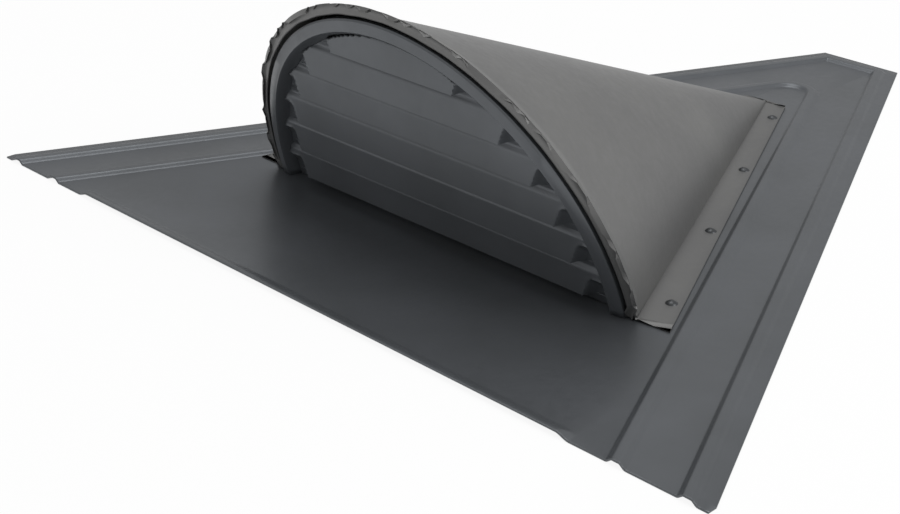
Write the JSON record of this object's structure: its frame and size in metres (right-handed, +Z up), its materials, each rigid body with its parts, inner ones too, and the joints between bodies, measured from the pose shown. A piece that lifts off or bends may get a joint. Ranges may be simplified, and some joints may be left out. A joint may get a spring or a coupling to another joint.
{
  "type": "roof vent",
  "caption": "Half-round roof vent: a cone-shaped hood with a louvred front, riveted on a beaded base plate that narrows to the back.",
  "frame": {"origin": "centre of the bounding box's bottom, on the plate's underside", "axes": "+X across the vent to the right seen from the front, +Y from the louvred front to the narrow back, +Z up"},
  "size_m": [0.517, 0.516, 0.1378],
  "materials": {
    "plate_zinc": "anthracite prepatinated zinc, smooth satin",
    "hood_zinc": "anthracite prepatinated zinc, brushed satin",
    "panel_zinc": "anthracite prepatinated zinc, pressed",
    "rivet_zinc": "dark rivet head"
  },
  "bodies": {
    "root": {"base_plate": "plate_zinc", "hood": "hood_zinc", "louvre_panel": "panel_zinc", "rivet_right_1": "rivet_zinc", "rivet_right_2": "rivet_zinc", "rivet_right_3": "rivet_zinc", "rivet_right_4": "rivet_zinc", "rivet_left_1": "rivet_zinc", "rivet_left_2": "rivet_zinc", "rivet_left_3": "rivet_zinc", "rivet_left_4": "rivet_zinc"}
  },
  "joints": []
}
